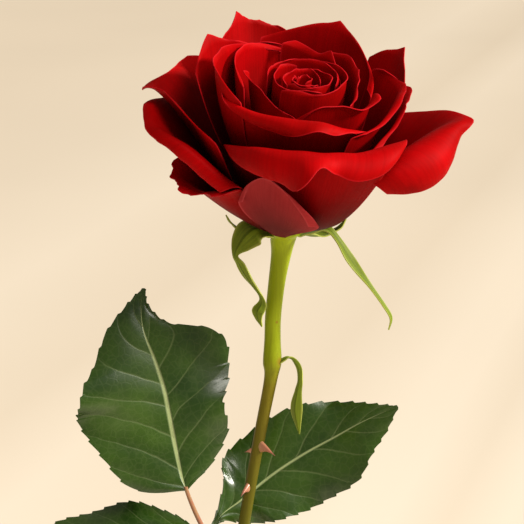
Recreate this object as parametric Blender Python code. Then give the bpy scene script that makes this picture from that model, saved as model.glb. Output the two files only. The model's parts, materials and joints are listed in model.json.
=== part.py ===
"""A single cut rose leaning in a plain bud vase. Metres, +Z up, origin at the middle of the vase's base."""

import math
from collections import namedtuple

import bpy
import numpy as np
from mathutils import Euler

MM = 0.001

# Driving sizes, in mm and degrees. The flower's places are measured from the middle of the vase's rim.
VASE_HEIGHT = 150.0
VASE_BELLY_RADIUS = 31.0
VASE_WALL = 3.0
VASE_FLOOR = 5.0
NECK_BORE_RADIUS = 6.4
STEM_RADIUS = 2.3
BLOOM_SCALE = 1.0
BLOOM_AT = (21.5, 0.0, 132.4)
BLOOM_NOD = 15.0
BLOOM_LEAN = 6.0
PETAL_THICKNESS = 0.4
CLAW_HALF_ANGLE = 20.0
WHORL_STEP = 0.8
LEAF_THICKNESS = 0.6
SEPAL_THICKNESS = 0.6
GAP = 0.4

RED = (0.55, 0.0, 0.01)
STEM_GREEN = (0.30, 0.36, 0.04)
SEPAL_GREEN = (0.32, 0.40, 0.10)
LEAF_GREEN = (0.04, 0.11, 0.03)
PRICKLE_RED = (0.45, 0.20, 0.12)
GLAZE = (0.80, 0.77, 0.72)

# A rib is a petal's profile: the radius and height of its crest, its lean from upright there,
# its lean at the very edge, and the length of lip that rolls over between the two.
# A petal has one rib at each margin and one in the middle, and stands at an angle about the bloom.
Rib = namedtuple("Rib", "radius height lean lip roll")
Petal = namedtuple("Petal", "name at spread start middle end tip")


def petal(name, at, spread, start, middle, end, tip=0.8):
    return Petal(name, at, spread, Rib(*start), Rib(*middle), Rib(*end), tip)


# From the heart outwards
PETALS = [
    petal("core_1", 60, 95, (2.2, 43, 0, 5, 1), (3.0, 44, 0, 10, 1), (2.4, 43, 0, 5, 1)),
    petal("core_2", 240, 85, (3.2, 42.5, 0, 5, 1), (4.0, 44, 0, 10, 1), (3.4, 42.5, 0, 5, 1)),
    petal("core_3", 110, 78, (4.8, 43.5, 0, 5, 1), (5.4, 45, 0, 10, 1), (4.8, 43.5, 0, 5, 1)),
    petal("core_4", 330, 75, (5.8, 42.5, 0, 5, 1), (6.6, 43.5, 0, 15, 1), (6.2, 44, 0, 5, 1)),
    petal("core_5", 205, 68, (9.4, 45, 0, 5, 1), (7.8, 44, 0, 20, 1), (7.2, 43, 0, 5, 1)),
    petal("core_6", 80, 70, (8.4, 44, 0, 5, 1), (9.0, 46, 0, 25, 1), (10.8, 46, 0, 5, 1)),
    petal("core_7", 335, 66, (10.2, 41.5, 0, 5, 1), (10.4, 43, 0, 20, 1), (11.6, 44.5, 0, 5, 1)),
    petal("inner_left", 216, 62, (16.5, 44, 4, 30, 2), (12.6, 40.5, 4, 20, 1.5), (12.0, 39, 2, 20, 1.5)),
    petal("inner_back", 52, 62, (13.6, 42.5, 0, 10, 1), (15.4, 47.5, 2, 30, 1.5), (22.0, 46.5, 6, 20, 1)),
    petal("inner_right", 20, 58, (16.0, 41, 0, 10, 1), (18.2, 46.5, 2, 40, 2), (19.2, 48, 4, 20, 1)),
    petal("inner_cup", 148, 52, (24.0, 45, 4, 20, 1), (22.0, 48, 4, 40, 2), (18.5, 43, 6, 20, 1)),
    petal("inner_front", 308, 46, (16.5, 40, 0, 20, 1), (20.8, 42.5, 5, 60, 2), (21.6, 43, 10, 130, 4)),
    petal("cup_left", 172, 54, (27.4, 44, 4, 20, 1), (26.6, 47.5, 6, 30, 2), (22.5, 40.5, 10, 40, 2)),
    petal("cup_front", 250, 54, (26.0, 42, 12, 60, 3), (25.0, 39.5, 20, 120, 4), (25.4, 38.5, 20, 90, 3)),
    petal("back_left_inner", 150, 46, (29.6, 42, 10, 30, 1), (33.0, 47.5, 8, 40, 2), (30.6, 38, 20, 50, 2)),
    petal("back_right_inner", 66, 48, (24.2, 41, 4, 20, 1), (28.0, 53.5, 8, 40, 2), (37.5, 41, 14, 30, 1)),
    petal("side_right", 350, 48, (28.6, 36, 20, 80, 2), (30.0, 43, 20, 90, 3), (29.0, 46, 14, 40, 2)),
    petal("side_right_outer", 348, 42, (30.4, 33, 20, 50, 2), (32.6, 39.5, 20, 60, 2), (32.4, 44, 20, 40, 2)),
    petal("back_left", 120, 38, (45.0, 41, 14, 40, 2), (44.0, 48, 14, 40, 2), (36.0, 40, 14, 40, 2)),
    petal("back_right", 38, 36, (36.0, 38, 24, 50, 2), (36.6, 48.5, 14, 40, 2), (40.5, 38, 20, 50, 2)),
    petal("front_lip", 272, 55, (28.0, 27, 55, 190, 7), (37.0, 37.5, 60, 195, 10), (38, 38, 45, 195, 7), 2.0),
    petal("left_hook", 170, 33, (43.0, 35, 40, 70, 3), (46.0, 33, 60, 110, 4), (36.0, 32, 40, 80, 3)),
    petal("outer_back_right", 76, 30, (46.0, 28, 50, 80, 3), (49.0, 31, 50, 90, 4), (47.0, 28, 50, 80, 3)),
    petal("outer_back_left", 130, 27, (45.0, 25, 50, 80, 3), (46.0, 27, 50, 90, 4), (43.0, 22, 50, 80, 3)),
    petal("front_low", 292, 24, (19.0, 7, 50, 60, 1), (32.5, 11.5, 75, 100, 4), (33.0, 19, 60, 80, 3)),
    petal("right_wing", 356, 39, (40.0, 31, 60, 175, 11), (46.5, 38, 70, 170, 6), (37.0, 30, 60, 80, 3), 3.0),
    petal("left_lobe", 196, 38, (45.0, 28, 60, 120, 4), (43.5, 30.5, 60, 150, 5), (30.5, 17, 50, 80, 3)),
    petal("left_ragged", 210, 26, (38.0, 18, 60, 120, 4), (37.5, 14.5, 60, 120, 4), (27.5, 10, 50, 150, 5)),
    petal("front_under", 258, 24, (30.5, 8, 20, 30, 2), (28.0, 18.5, 10, 20, 2), (37.5, 9.0, 40, 60, 2)),
]


# Each sepal's midrib, from the bloom's base, with its half-width there, and the way its right side faces
SEPALS = {
    "sepal_left": (
        (0.3, -0.9, -0.2),
        [(-6.5, 0, -7.2, 3.6), (-9.7, -2, -7.8, 5.0), (-12.9, -3, -9.4, 4.4), (-15.7, -4, -13.8, 1.2),
         (-13.7, -4, -18.5, 1.1), (-10.9, -4, -22.6, 1.0), (-8.1, -4, -26.5, 0.9), (-9.3, -4.5, -30.4, 1.4),
         (-11.3, -5, -32.1, 1.8), (-10.0, -5, -34.7, 1.2), (-7.9, -5, -37.0, 0.2)],
    ),
    "sepal_right": (
        (-0.5, -0.8, -0.3),
        [(5.1, 1, -8.2, 2.6), (9.5, 0, -9.8, 2.8), (14.5, -2, -9.6, 2.4), (18.0, -3, -11.4, 2.2),
         (20.3, -3, -14.8, 1.8), (23.6, -3, -19.4, 1.5), (26.8, -3, -23.9, 1.2), (31.3, -3, -30.1, 1.0),
         (33.5, -3, -34.1, 0.7), (32.9, -3, -38.0, 0.2)],
    ),
    "sepal_back_left": (
        (0.3, -0.9, 0),
        [(-5.9, 4.5, -7.2, 2.8), (-10, 6.5, -8.0, 3.2), (-14, 7, -7.2, 2.2), (-17.3, 7, -5.2, 1.2),
         (-19.3, 7, -2.4, 0.2)],
    ),
    "sepal_back_right": (
        (0.5, -0.8, 0),
        [(4.1, 5, -7.8, 2.8), (8.5, 8, -9.6, 3.2), (13.5, 9.5, -9.4, 2.2), (17.3, 10, -7.4, 1.2),
         (19.5, 10, -4.4, 0.2)],
    ),
    "sepal_back": (
        (1, 0, 0),
        [(-0.7, 7.4, -6.8, 2.8), (-0.9, 12, -8.4, 3.4), (-1.3, 17, -12.9, 2.8), (-1.9, 19.5, -20.4, 1.8),
         (-2.5, 19, -27.9, 0.2)],
    ),
}

# The stem's centre line above the rim, with its radius as a share of STEM_RADIUS
STEM_ABOVE = [(8.2, 0, 30, 0.84), (13.0, 0, 58, 0.84), (16.6, 0, 77, 0.95), (17.0, 0, 83, 1.35)]
STEM_ABOVE += [(17.2, 1.5, 98, 1.1), (19.4, 3.4, 115, 1.2)]
STEM_TOP_BELOW_BLOOM = 9.6
STEM_OFF_WALL = 6.3
STEM_SIDES, STEM_RINGS = 10, 22

# Height above the rim, bearing round the stem, length, droop, and foot radius
PRICKLES = [(54.2, -50, 6.5, -1.6, 1.15), (41.4, -120, 4.2, -1.8, 1.15)]
PRICKLES += [(52.4, 180, 2.2, -0.6, 0.8), (21.5, 55, 3.8, -1.4, 0.9)]

# A small leaf with no stalk at the stem's upper joint: its midrib beyond the stem, and half-widths
BRACT_HEIGHT = 83.9
BRACT = [(0.5, -1, 0, 0.5), (2.0, -1.5, 0.9, 0.6), (3.8, -2, 0.3, 0.7), (5.5, -2.5, -2.4, 0.9)]
BRACT += [(5.7, -2.7, -6.4, 1.0), (5.1, -2.8, -9.9, 1.2), (4.3, -3, -16.3, 2.3), (5.8, -3, -24.1, 0.2)]

# The leaf stalk, from its foot on the stem, with its radius
RACHIS_HEIGHT = 11.6
RACHIS = [(0.4, -2.6, 16, 0.95), (-2.6, -3.9, 21.6, 0.9), (-5.0, -5.0, 27.4, 0.85), (-8.0, -6.6, 34.6, 0.75)]
RACHIS += [(-10.2, -7.8, 40.9, 0.65)]

# Each leaflet: the way its right side faces, then its midrib with its half-widths to left and right
LEAFLETS = {
    "leaflet_end": (
        (1.0, 0.1, 0.0),
        [(-10.6, -8, 42.2, 0.4, 0.4), (-12.2, -6.5, 47, 17, 9), (-14.4, -4, 57, 23, 17.5),
         (-16.3, -2, 67, 26.5, 18), (-17.9, 0, 74.1, 25.6, 21), (-21.1, 3, 83, 20, 25),
         (-24.6, 6, 91.8, 12, 15), (-25.6, 9, 99.4, 4.5, 4),
         (-24.6, 11, 104.9, 0.3, 0.3)],
    ),
    "leaflet_right": (
        (0.1, -0.35, -0.93),
        [(-3.3, -3.1, 26.4, 0.4, 0.4), (0.4, 3.5, 30, 2.5, 2.5), (6.4, 8, 33.2, 10, 9),
         (10.9, 10, 36.4, 15, 13), (18.2, 12, 41.8, 16, 16), (28, 13.5, 48, 16, 17),
         (38.4, 14, 53.8, 13, 16.5), (46.1, 13, 58.6, 8, 11),
         (53, 11.5, 62.4, 3.5, 6), (58.6, 10, 65.1, 0.3, 0.3)],
    ),
    "leaflet_left": (
        (0.0, 0.8, 0.55),
        [(-5.9, -5.4, 25.6, 0.4, 0.4), (-14, -7, 26.6, 10, 9), (-26, -9, 26.6, 15.5, 13.5),
         (-38, -10, 25.4, 16, 14),
         (-50, -11, 22.6, 13, 12), (-60, -12, 19, 7.5, 7), (-67, -13, 14.6, 0.3, 0.3)],
    ),
}


def whorls(petals, claw, step):
    """Foot radius and height of each petal: one step outside any earlier petal whose claw it would meet,
    and no further in than one whose blade it overlaps."""
    levels = []
    for k, p in enumerate(petals):
        level = 0
        for earlier, other in zip(petals[:k], levels):
            apart = abs((p.at - earlier.at + 180) % 360 - 180)
            if apart < 2 * claw + 20:
                level = max(level, other + 1)
            elif apart < p.spread + earlier.spread + 5:
                level = max(level, other)
        levels.append(level)
    radius, height, feet = 1.2, 0.0, []
    for n in range(max(levels) + 1):
        feet.append((radius, height))
        lean = math.radians(min(84, 6 + 9 * n))
        radius += step * math.cos(lean)
        height -= step * math.sin(lean)
    return [feet[n] for n in levels]


def petal_points(p, foot, base, claw, across, body, lip):
    """Grid of points over a petal's middle surface, in the bloom's own frame, mm."""
    u = np.linspace(-1, 1, across)
    side = u[:, None] ** 2
    edge = np.where(u[:, None] < 0, np.array(p.start), np.array(p.end))
    radius, height, lean, edge_lean, roll = (np.array(p.middle) * (1 - side) + edge * side).T
    roll = roll + p.tip * np.clip(1 - np.abs(u) / 0.25, 0, 1)
    lean, edge_lean, base = np.radians(lean), np.radians(edge_lean), math.radians(base)
    chord = np.hypot(radius - foot[0], height - foot[1])
    hold, near = 0.42 * chord, 0.24 * chord
    s = np.linspace(0, 1, body + 1)[None, :]
    r = (
        (1 - s) ** 3 * foot[0]
        + 3 * s * (1 - s) ** 2 * (foot[0] + hold * math.sin(base))[:, None]
        + 3 * s**2 * (1 - s) * (radius - near * np.sin(lean))[:, None]
        + s**3 * radius[:, None]
    )
    z = (
        (1 - s) ** 3 * foot[1]
        + 3 * s * (1 - s) ** 2 * (foot[1] + hold * math.cos(base))[:, None]
        + 3 * s**2 * (1 - s) * (height - near * np.cos(lean))[:, None]
        + s**3 * height[:, None]
    )
    for k in range(lip):
        turned = lean + (edge_lean - lean) * (k + 0.5) / lip
        r = np.column_stack([r, r[:, -1] + np.sin(turned) * roll / lip])
        z = np.column_stack([z, z[:, -1] + np.cos(turned) * roll / lip])
    v = np.concatenate([s[0] * 0.78, 0.78 + 0.22 * np.arange(1, lip + 1) / lip])
    opened = np.sin(np.clip(v / 0.6, 0, 1) * math.pi / 2)
    narrowed = 1.05 - 0.29 * np.clip((v - 0.6) / 0.4, 0, 1) ** 2
    half = (claw + (p.spread - claw) * opened) * narrowed
    angle = np.radians(p.at + u[:, None] * half[None, :])
    return np.stack([r * np.cos(angle), r * np.sin(angle), z], -1)


def smooth(values, count):
    """Catmull-Rom curve through the rows of values, sampled at count places."""
    values = np.asarray(values, float)
    ends = np.concatenate([[2 * values[0] - values[1]], values, [2 * values[-1] - values[-2]]])
    t = np.linspace(0, len(values) - 1, count)
    i = np.minimum(t.astype(int), len(values) - 2)
    f = (t - i).reshape((-1,) + (1,) * (values.ndim - 1))
    a, b, c, d = ends[i], ends[i + 1], ends[i + 2], ends[i + 3]
    return 0.5 * (2 * b + (c - a) * f + (2 * a - 5 * b + 4 * c - d) * f**2 + (3 * b - a - 3 * c + d) * f**3)


def material(name, colour, roughness):
    made = bpy.data.materials.new(name)
    made.use_nodes = True
    shader = made.node_tree.nodes["Principled BSDF"]
    shader.inputs["Base Color"].default_value = (*colour, 1)
    shader.inputs["Roughness"].default_value = roughness
    return made


def place(name, at, parent=None):
    """An empty that a group of pieces hangs from, at a point in mm."""
    made = bpy.data.objects.new(name, None)
    made.location = [value * MM for value in at]
    made.parent = parent
    bpy.context.collection.objects.link(made)
    return made


def add(name, parent, points, faces, colour, roughness):
    mesh = bpy.data.meshes.new(name)
    mesh.from_pydata([tuple(p) for p in np.asarray(points) * MM], [], [tuple(f) for f in faces])
    mesh.materials.append(material(name, colour, roughness))
    mesh.shade_smooth()
    mesh.set_sharp_from_angle(angle=math.radians(40))
    made = bpy.data.objects.new(name, mesh)
    made.parent = parent
    bpy.context.collection.objects.link(made)
    return made


def sheet(name, parent, grid, thickness, colour, roughness):
    """A thin closed body around a grid of points."""
    across, along = grid.shape[:2]
    index = np.arange(across * along).reshape(across, along)
    faces = [
        (index[i, j], index[i + 1, j], index[i + 1, j + 1], index[i, j + 1])
        for i in range(across - 1)
        for j in range(along - 1)
    ]
    made = add(name, parent, grid.reshape(-1, 3), faces, colour, roughness)
    thicken = made.modifiers.new("Thickness", "SOLIDIFY")
    thicken.thickness = thickness * MM
    thicken.offset = 0
    return made


def blade(path, side, left, right, across, along, sag=0.0, fold=0.0):
    """Grid over a leaf: its midrib, the direction of its right margin, and its half-widths."""
    mid, side = smooth(path, along), smooth(side, along)
    side /= np.linalg.norm(side, axis=1, keepdims=True)
    ahead = np.gradient(mid, axis=0)
    side -= ahead * (np.sum(side * ahead, 1) / np.sum(ahead * ahead, 1))[:, None]
    side /= np.linalg.norm(side, axis=1, keepdims=True)
    up = np.cross(side, ahead)
    up /= np.linalg.norm(up, axis=1, keepdims=True)
    left, right = smooth(left, along), smooth(right, along)
    u = np.linspace(-1, 1, across)[:, None, None]
    half = np.where(u < 0, left[None, :, None], right[None, :, None])
    lift = fold * np.abs(u) - sag * u**2
    return mid + side * u * half + up * lift * half


def tube(path, radii, sides, along):
    """Points and faces of a capped round bar along a path."""
    mid, radii = smooth(path, along), smooth(radii, along)
    ahead = np.gradient(mid, axis=0)
    ahead /= np.linalg.norm(ahead, axis=1, keepdims=True)
    first = np.cross(ahead, (0, 1, 0.01))
    first /= np.linalg.norm(first, axis=1, keepdims=True)
    second = np.cross(ahead, first)
    turn = np.arange(sides) * 2 * math.pi / sides
    ring = first[:, None] * np.cos(turn)[None, :, None] + second[:, None] * np.sin(turn)[None, :, None]
    points = (mid[:, None] + ring * radii[:, None, None]).reshape(-1, 3)
    faces = [
        (k * sides + i, k * sides + (i + 1) % sides, (k + 1) * sides + (i + 1) % sides, (k + 1) * sides + i)
        for k in range(along - 1)
        for i in range(sides)
    ]
    faces.append(tuple(range(sides - 1, -1, -1)))
    faces.append(tuple(range((along - 1) * sides, along * sides)))
    return points, faces


def lathe(profile, sides):
    """Points and faces of a closed profile turned about Z. Its first and last points lie on the axis."""
    turn = np.arange(sides) * 2 * math.pi / sides
    points = [(0, 0, profile[0][1])]
    for r, z in profile[1:-1]:
        points += [(r * math.cos(t), r * math.sin(t), z) for t in turn]
    points.append((0, 0, profile[-1][1]))
    faces = [(0, 1 + (i + 1) % sides, 1 + i) for i in range(sides)]
    for k in range(len(profile) - 3):
        a = 1 + k * sides
        for i in range(sides):
            after = (i + 1) % sides
            faces.append((a + i, a + after, a + sides + after, a + sides + i))
    a = 1 + (len(profile) - 3) * sides
    faces += [(a + i, a + (i + 1) % sides, len(points) - 1) for i in range(sides)]
    return points, faces


def build_vase():
    h, b, n, w = VASE_HEIGHT, VASE_BELLY_RADIUS, NECK_BORE_RADIUS, VASE_WALL
    outside = [(0, 0), (0.80 * b, 0), (0.86 * b, 1.2), (0.94 * b, 0.09 * h), (b, 0.24 * h)]
    outside += [(0.97 * b, 0.36 * h), (0.80 * b, 0.50 * h), (0.56 * b, 0.62 * h)]
    outside += [(n + w + 1.0, 0.74 * h), (n + w, 0.86 * h)]
    outside += [(n + w + 0.4, 0.96 * h), (n + w + 0.8, h - 1.0), (n + w - 0.2, h), (n + 0.5, h), (n, h - 0.8)]
    inside = [(n, 0.86 * h), (n + 0.8, 0.74 * h), (0.56 * b - w, 0.61 * h), (0.80 * b - w, 0.49 * h)]
    inside += [(0.97 * b - w, 0.36 * h), (b - w, 0.24 * h), (0.94 * b - w, 0.10 * h)]
    inside.append((0.80 * b - w, VASE_FLOOR))
    return add("vase", None, *lathe(outside + inside + [(0, VASE_FLOOR)], 40), GLAZE, 0.25)


def bloom_axis_point(height):
    """A point on the bloom's own axis, measured from the rim."""
    turn = Euler((math.radians(BLOOM_NOD), math.radians(BLOOM_LEAN), 0)).to_matrix()
    return tuple(np.array(BLOOM_AT) + BLOOM_SCALE * height * np.array(turn.col[2]))


def stem_line():
    """Centre line and radii of the stem, which stands on the vase's floor and leans on its rim."""
    lower = 0.84 * STEM_RADIUS
    floor_radius = 0.80 * VASE_BELLY_RADIUS - VASE_WALL
    foot = (-(floor_radius - lower - STEM_OFF_WALL), 2, VASE_FLOOR + 3 * GAP - VASE_HEIGHT)
    rim = (NECK_BORE_RADIUS - lower - GAP, 0, 0)
    path = [foot, rim] + [row[:3] for row in STEM_ABOVE] + [bloom_axis_point(-STEM_TOP_BELOW_BLOOM)]
    shares = [0.84, 0.84] + [row[3] for row in STEM_ABOVE] + [1.75]
    return smooth(path, 8 * STEM_RINGS), smooth(np.array(shares) * STEM_RADIUS, 8 * STEM_RINGS)


def beside_stem(height, bearing, off):
    """A point off the stem's side by the given distance, at a height above the rim."""
    line, radii = stem_line()
    k = int(np.argmin(np.abs(line[:, 2] - height)))
    turn = math.radians(bearing)
    return line[k] + (radii[k] + off) * np.array([math.cos(turn), math.sin(turn), 0])


def build_stem(rim):
    line, radii = stem_line()
    step = slice(None, None, 8)
    path, rings = np.concatenate([line[step], line[-1:]]), np.concatenate([radii[step], radii[-1:]])
    add("stem", rim, *tube(path, rings, STEM_SIDES, len(path)), STEM_GREEN, 0.5)
    for k, (height, bearing, length, droop, thick) in enumerate(PRICKLES):
        foot, point = beside_stem(height, bearing, GAP), beside_stem(height, bearing, length)
        elbow = foot + 0.4 * (point - foot)
        point = point + np.array([0, 0, droop])
        points, faces = tube([foot, elbow, point], [thick, 0.6 * thick, 0.12], 6, 5)
        add(f"prickle_{k + 1}", rim, points, faces, PRICKLE_RED, 0.5)


def build_petals(bloom):
    feet = whorls(PETALS, CLAW_HALF_ANGLE, WHORL_STEP)
    for k, (row, foot) in enumerate(zip(PETALS, feet)):
        base = 4 + 82 * k / (len(PETALS) - 1)
        across, body, lip = (7, 5, 1) if k < 10 else (9, 5, 2)
        grid = petal_points(row, foot, base, CLAW_HALF_ANGLE, across, body, lip)
        sheet("petal_" + row.name, bloom, grid, PETAL_THICKNESS, RED, 0.5)
    return min(feet, key=lambda foot: foot[1])


def build_receptacle(bloom, lowest_foot):
    r, z = lowest_foot
    profile = [(0, z - 2.6), (3.4, z - 2.6), (4.6, z - 2.0), (r + 0.3, z - 0.9), (r - 0.3, z + 0.2)]
    profile += [(0.9 * r, 0.74 * z), (0.75 * r, 0.46 * z), (0.5 * r, 0.2 * z - 0.2), (0.2 * r, -0.5)]
    profile.append((0, -0.5))
    add("receptacle", bloom, *lathe(profile, 14), SEPAL_GREEN, 0.6)


def build_sepals(bloom_base):
    for name, (side, rows) in SEPALS.items():
        rows = np.array(rows)
        grid = blade(rows[:, :3], [side] * len(rows), rows[:, 3], rows[:, 3], 3, 2 * len(rows) - 1, fold=0.15)
        sheet(name, bloom_base, grid, SEPAL_THICKNESS, SEPAL_GREEN, 0.6)


def build_leaves(rim):
    bract = np.array(BRACT)
    path = bract[:, :3] + beside_stem(BRACT_HEIGHT, 0, GAP)
    grid = blade(path, [(0.8, -0.6, 0.1)] * len(bract), bract[:, 3], bract[:, 3], 3, 15, fold=0.15)
    sheet("bract_leaf", rim, grid, SEPAL_THICKNESS, SEPAL_GREEN, 0.6)
    foot = (*beside_stem(RACHIS_HEIGHT, 200, 2.2 * GAP), 1.2)
    rachis = np.array([foot] + RACHIS)
    add("leaf_rachis", rim, *tube(rachis[:, :3], rachis[:, 3], 8, 11), STEM_GREEN, 0.5)
    for name, (side, rows) in LEAFLETS.items():
        rows = np.array(rows)
        grid = blade(rows[:, :3], [side] * len(rows), rows[:, 3], rows[:, 4], 9, 15, sag=0.12, fold=0.1)
        sheet(name, rim, grid, LEAF_THICKNESS, LEAF_GREEN, 0.45)


def main():
    for old in list(bpy.data.objects):
        bpy.data.objects.remove(old, do_unlink=True)
    rim = place("rim", (0, 0, VASE_HEIGHT))
    bloom_base = place("bloom_base", BLOOM_AT, rim)
    bloom_base.scale = (BLOOM_SCALE, BLOOM_SCALE, BLOOM_SCALE)
    bloom = place("bloom", (0, 0, 0), bloom_base)
    bloom.rotation_euler = (math.radians(BLOOM_NOD), math.radians(BLOOM_LEAN), 0)
    lowest_foot = build_petals(bloom)
    build_receptacle(bloom, lowest_foot)
    build_sepals(bloom_base)
    build_stem(rim)
    build_leaves(rim)
    build_vase()


if __name__ == "__main__":
    main()
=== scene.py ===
import math

import bpy
import numpy as np
from mathutils import Euler, Matrix, Vector
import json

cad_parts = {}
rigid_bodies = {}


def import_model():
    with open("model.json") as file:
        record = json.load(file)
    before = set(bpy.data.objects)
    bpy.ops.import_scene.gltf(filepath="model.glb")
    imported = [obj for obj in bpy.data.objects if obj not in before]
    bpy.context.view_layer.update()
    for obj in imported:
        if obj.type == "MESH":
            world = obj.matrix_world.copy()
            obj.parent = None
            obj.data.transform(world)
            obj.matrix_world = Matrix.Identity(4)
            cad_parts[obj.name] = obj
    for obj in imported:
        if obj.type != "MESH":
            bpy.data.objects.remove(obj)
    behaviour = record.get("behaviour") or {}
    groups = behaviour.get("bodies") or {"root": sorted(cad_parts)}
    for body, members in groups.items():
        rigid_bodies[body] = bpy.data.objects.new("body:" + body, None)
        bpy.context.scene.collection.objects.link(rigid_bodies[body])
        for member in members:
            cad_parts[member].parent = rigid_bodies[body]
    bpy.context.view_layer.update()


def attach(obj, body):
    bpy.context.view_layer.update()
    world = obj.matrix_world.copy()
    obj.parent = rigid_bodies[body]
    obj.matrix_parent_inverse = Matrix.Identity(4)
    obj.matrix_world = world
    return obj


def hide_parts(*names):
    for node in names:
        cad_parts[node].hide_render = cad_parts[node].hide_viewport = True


for left_over in list(bpy.data.objects):
    bpy.data.objects.remove(left_over, do_unlink=True)
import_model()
bpy.ops.object.select_all(action="DESELECT")

# ---------------------------------------------------------------------------------------------
# Vase: a slip-cast stoneware bud vase, round-bellied with a narrow neck for a single stem.
# It is dipped in a plain off-white glaze and wiped clean at the foot, where the bare clay shows.
# ---------------------------------------------------------------------------------------------

VASE_HEIGHT = 0.150
BELLY_RADIUS = 0.031
NECK_BORE_RADIUS = 0.0064
VASE_WALL = 0.003
VASE_FLOOR = 0.005


def new_tree(name, roughness, specular=0.5, coat=0.0, coat_roughness=0.1, sheen=0.0, sheen_tint=(1, 1, 1)):
    """A material with one main shader, whose plain numbers stand on its own sockets."""
    made = bpy.data.materials.new(name)
    made.use_nodes = True
    shader = made.node_tree.nodes["Principled BSDF"]
    shader.inputs["Roughness"].default_value = roughness
    shader.inputs["Specular IOR Level"].default_value = specular
    shader.inputs["Coat Weight"].default_value = coat
    shader.inputs["Coat Roughness"].default_value = coat_roughness
    shader.inputs["Sheen Weight"].default_value = sheen
    shader.inputs["Sheen Roughness"].default_value = 0.45
    shader.inputs["Sheen Tint"].default_value = (*sheen_tint, 1)
    return made.node_tree, shader


def wire(tree, kind, sockets, **settings):
    """Adds a node. Each socket is given a number, a colour or another node's output."""
    made = tree.nodes.new(kind)
    for setting, value in settings.items():
        setattr(made, setting, value)
    for socket, value in sockets.items():
        if isinstance(value, bpy.types.NodeSocket):
            tree.links.new(value, made.inputs[socket])
        else:
            made.inputs[socket].default_value = value
    return made


def ramp(tree, amount, stops):
    """A colour ramp over an amount: stops are (place, colour)."""
    made = wire(tree, "ShaderNodeValToRGB", {"Fac": amount})
    while len(made.color_ramp.elements) < len(stops):
        made.color_ramp.elements.new(0.5)
    for element, (place, colour) in zip(made.color_ramp.elements, stops):
        element.position = place
        element.color = (*colour, 1)
    return made.outputs["Color"]


def mixed(tree, amount, first, second, how="MIX"):
    made = wire(tree, "ShaderNodeMix", {}, data_type="RGBA", blend_type=how)
    for socket, value in ((0, amount), (6, first), (7, second)):
        if isinstance(value, bpy.types.NodeSocket):
            tree.links.new(value, made.inputs[socket])
        elif socket:
            made.inputs[socket].default_value = (*value, 1)
        else:
            made.inputs[socket].default_value = value
    return made.outputs[2]


def reckon(tree, operation, first, second=0.0, clamp=False):
    made = wire(tree, "ShaderNodeMath", {0: first, 1: second}, operation=operation, use_clamp=clamp)
    return made.outputs[0]


def bumped(tree, shader, height, strength, distance):
    made = wire(tree, "ShaderNodeBump", {"Height": height, "Strength": strength, "Distance": distance})
    tree.links.new(made.outputs[0], shader.inputs["Normal"])


def smooth(values, count):
    """An even run of count values on a soft curve through the given ones."""
    values = np.asarray(values, float)
    ends = np.concatenate([[2 * values[0] - values[1]], values, [2 * values[-1] - values[-2]]])
    t = np.linspace(0, len(values) - 1, count)
    i = np.minimum(t.astype(int), len(values) - 2)
    f = (t - i).reshape((-1,) + (1,) * (values.ndim - 1))
    a, b, c, d = ends[i], ends[i + 1], ends[i + 2], ends[i + 3]
    return 0.5 * (2 * b + (c - a) * f + (2 * a - 5 * b + 4 * c - d) * f**2 + (3 * b - a - 3 * c + d) * f**3)


def draw_out(rings, sides):
    """A disc extruded from ring to ring, each an (x, y, z, radius), into a closed round body."""
    x, y, z, radius = rings[0]
    bpy.ops.mesh.primitive_circle_add(vertices=sides, radius=radius, fill_type="NGON", location=(0, 0, 0))
    made = bpy.context.object
    bpy.ops.object.mode_set(mode="EDIT")
    bpy.ops.mesh.select_mode(type="FACE")
    bpy.ops.mesh.select_all(action="SELECT")
    bpy.ops.transform.translate(value=(x, y, z))
    for before, after in zip(rings[:-1], rings[1:]):
        step = Vector(after[:3]) - Vector(before[:3])
        share = after[3] / before[3]
        bpy.ops.mesh.extrude_region_move(TRANSFORM_OT_translate={"value": step})
        bpy.ops.transform.resize(value=(share, share, 1), center_override=after[:3])
    bpy.ops.mesh.select_all(action="SELECT")
    bpy.ops.mesh.normals_make_consistent(inside=False)
    bpy.ops.object.mode_set(mode="OBJECT")
    bpy.ops.object.shade_smooth_by_angle(angle=math.radians(50))
    return made


def settle(piece, name, slot, trees, *nodes):
    """Names a finished piece, gives it its materials and puts it in the place of its plain nodes."""
    piece.name = piece.data.name = name
    piece.data.materials.clear()
    for tree in trees:
        piece.data.materials.append(bpy.data.materials[tree])
    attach(piece, "root")
    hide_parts(*nodes)
    piece.select_set(False)


h, b, n, w = VASE_HEIGHT, BELLY_RADIUS, NECK_BORE_RADIUS, VASE_WALL
vase_outside = [(0.80 * b, 0), (0.835 * b, 0.0003), (0.86 * b, 0.0014), (0.94 * b, 0.09 * h), (b, 0.24 * h)]
vase_outside += [(0.97 * b, 0.36 * h), (0.80 * b, 0.50 * h), (0.56 * b, 0.62 * h), (n + w + 0.0009, 0.74 * h)]
vase_outside += [(n + w, 0.86 * h), (n + w + 0.0004, 0.96 * h)]
vase_rim = [(n + w + 0.0008, h - 0.0014), (n + w + 0.0004, h - 0.0004), (n + w - 0.0004, h)]
vase_rim += [(n + 0.0008, h), (n + 0.0002, h - 0.0004), (n, h - 0.0012)]
vase_inside = [(n, 0.86 * h), (n + 0.0008, 0.74 * h), (0.56 * b - w, 0.61 * h), (0.80 * b - w, 0.49 * h)]
vase_inside += [(0.97 * b - w, 0.36 * h), (b - w, 0.24 * h), (0.94 * b - w, 0.10 * h)]
vase_inside += [(0.84 * b - w, VASE_FLOOR)]
vase_profile = np.concatenate([smooth(vase_outside, 60), vase_rim, smooth(vase_inside, 44)])
vase_profile = [(0.0, 0.0, z, r) for r, z in vase_profile]
vase_profile[0] = (0.0, 0.0, 0.0, 0.80 * b)
vase = draw_out(vase_profile, 96)

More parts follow.
